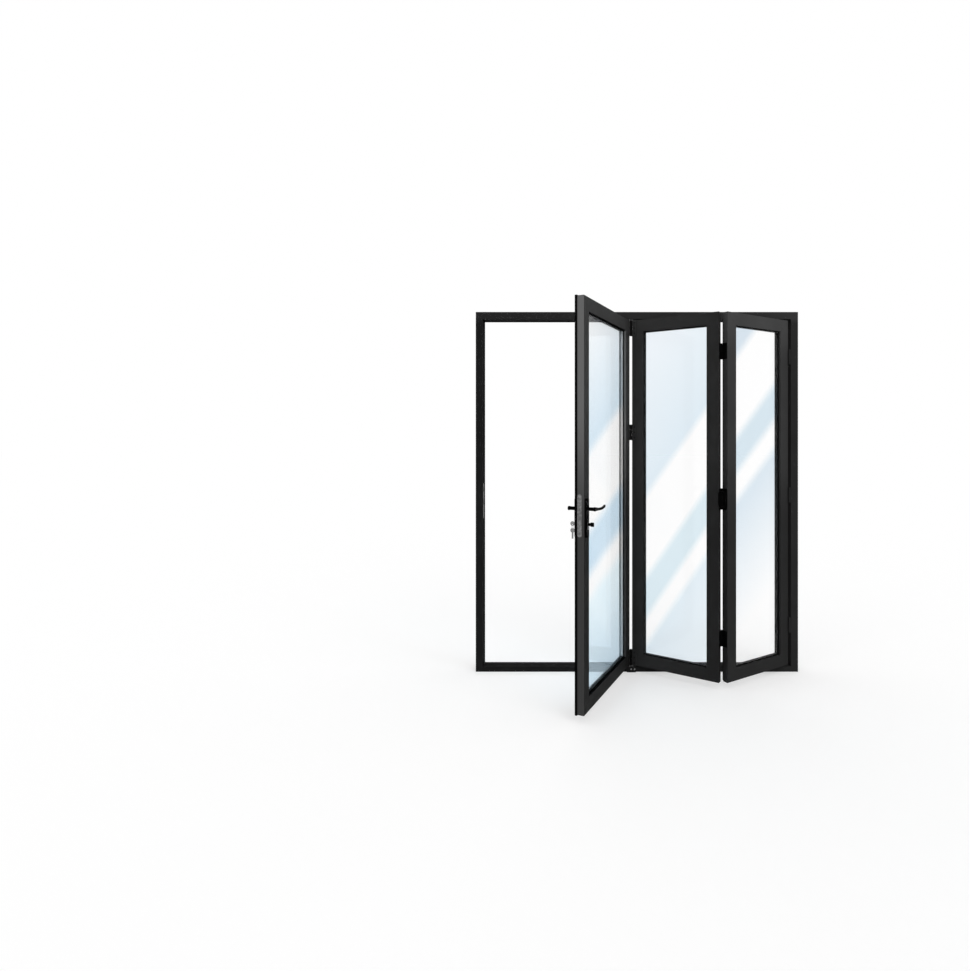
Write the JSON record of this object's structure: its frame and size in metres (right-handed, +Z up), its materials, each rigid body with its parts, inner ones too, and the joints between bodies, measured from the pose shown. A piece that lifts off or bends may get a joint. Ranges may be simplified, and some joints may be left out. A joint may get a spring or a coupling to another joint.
{
  "type": "bifold glass patio door",
  "caption": "Bifold patio door of glazed charcoal aluminium leaves in an outer frame, folding pair half open and lockable entrance leaf swung open.",
  "frame": {"origin": "on the sill's underside, in the middle of the frame's width and depth", "axes": "X along the doorway, +Y from the lever side's viewer through the doorway, +Z up"},
  "size_m": [1.82, 0.719, 2.032],
  "materials": {
    "aluminium": "charcoal powder coat, satin, on aluminium extrusions",
    "glass": "clear, with a pale blue cast",
    "rubber": "black extruded gasket and seal",
    "steel": "brushed stainless steel",
    "keys": "nickel plated",
    "cylinder": "satin nickel",
    "black_hardware": "black satin",
    "hinge": "charcoal powder coat",
    "carriage": "blackened steel"
  },
  "bodies": {
    "frame": {"frame_head": "aluminium", "frame_sill": "aluminium", "frame_left_jamb": "aluminium", "frame_right_jamb": "aluminium", "lock_keep": "steel", "middle_leaf_left_stile": "aluminium", "middle_leaf_right_stile": "aluminium", "middle_leaf_top_rail": "aluminium", "middle_leaf_bottom_rail": "aluminium", "middle_leaf_glass": "glass", "middle_leaf_gasket": "rubber", "middle_leaf_beads": "aluminium", "jamb_leaf_left_stile": "aluminium", "jamb_leaf_right_stile": "aluminium", "jamb_leaf_top_rail": "aluminium", "jamb_leaf_bottom_rail": "aluminium", "jamb_leaf_glass": "glass", "jamb_leaf_gasket": "rubber", "jamb_leaf_beads": "aluminium", "swing_hinge_top_fixed": "hinge", "swing_hinge_middle_fixed": "hinge", "swing_hinge_bottom_fixed": "hinge", "apex_hinge_top": "black_hardware", "apex_hinge_middle": "black_hardware", "apex_hinge_bottom": "black_hardware", "jamb_hinge_top": "hinge", "jamb_hinge_middle": "hinge", "jamb_hinge_bottom": "hinge", "top_carriage": "carriage", "bottom_guide": "carriage"},
    "swing_leaf": {"swing_leaf_left_stile": "aluminium", "swing_leaf_right_stile": "aluminium", "swing_leaf_top_rail": "aluminium", "swing_leaf_bottom_rail": "aluminium", "swing_leaf_glass": "glass", "swing_leaf_gasket": "rubber", "swing_leaf_beads": "aluminium", "swing_leaf_seal": "rubber", "swing_hinge_top_moving": "hinge", "swing_hinge_middle_moving": "hinge", "swing_hinge_bottom_moving": "hinge", "front_backplate": "black_hardware", "rear_backplate": "black_hardware", "lock_cylinder": "cylinder", "lock_faceplate": "steel", "key": "keys", "key_ring": "keys"},
    "levers": {"front_lever": "black_hardware", "rear_lever": "black_hardware"},
    "thumb_turn": {"thumb_turn": "black_hardware"},
    "latch_bolt": {"latch_bolt": "steel"},
    "dead_bolt": {"dead_bolt": "steel"}
  },
  "joints": [
    {"name": "swing_leaf_hinge", "type": "hinge", "parent": "frame", "child": "swing_leaf", "pos_m": [-0.03335, -0.032, 1.011], "axis": [0, 0, 1], "range_deg": [-65.6, 78]},
    {"name": "lever_turn", "type": "hinge", "parent": "swing_leaf", "child": "levers", "pos_m": [-0.34484, -0.64727, 0.992], "axis": [-0.9107, 0.4131, 0], "range_deg": [0, 40], "stiffness_Nm_per_rad": 0.8, "springref_deg": -28.65},
    {"name": "thumb_turn_turn", "type": "hinge", "parent": "swing_leaf", "child": "thumb_turn", "pos_m": [-0.32435, -0.65657, 0.92], "axis": [-0.9107, 0.4131, 0], "range_deg": [0, 360]},
    {"name": "latch_slide", "type": "slide", "parent": "swing_leaf", "child": "latch_bolt", "axis": [0.4131, 0.9107, 0], "range_m": [0, 0.01]},
    {"name": "dead_bolt_slide", "type": "slide", "parent": "swing_leaf", "child": "dead_bolt", "axis": [-0.4131, -0.9107, 0], "range_m": [0, 0.02]}
  ],
  "couplings": [
    {"joint": "latch_slide", "follows": "lever_turn", "m_per_rad": 0.0143},
    {"joint": "thumb_turn_turn", "follows": "dead_bolt_slide", "rad_per_m": 314.16}
  ]
}
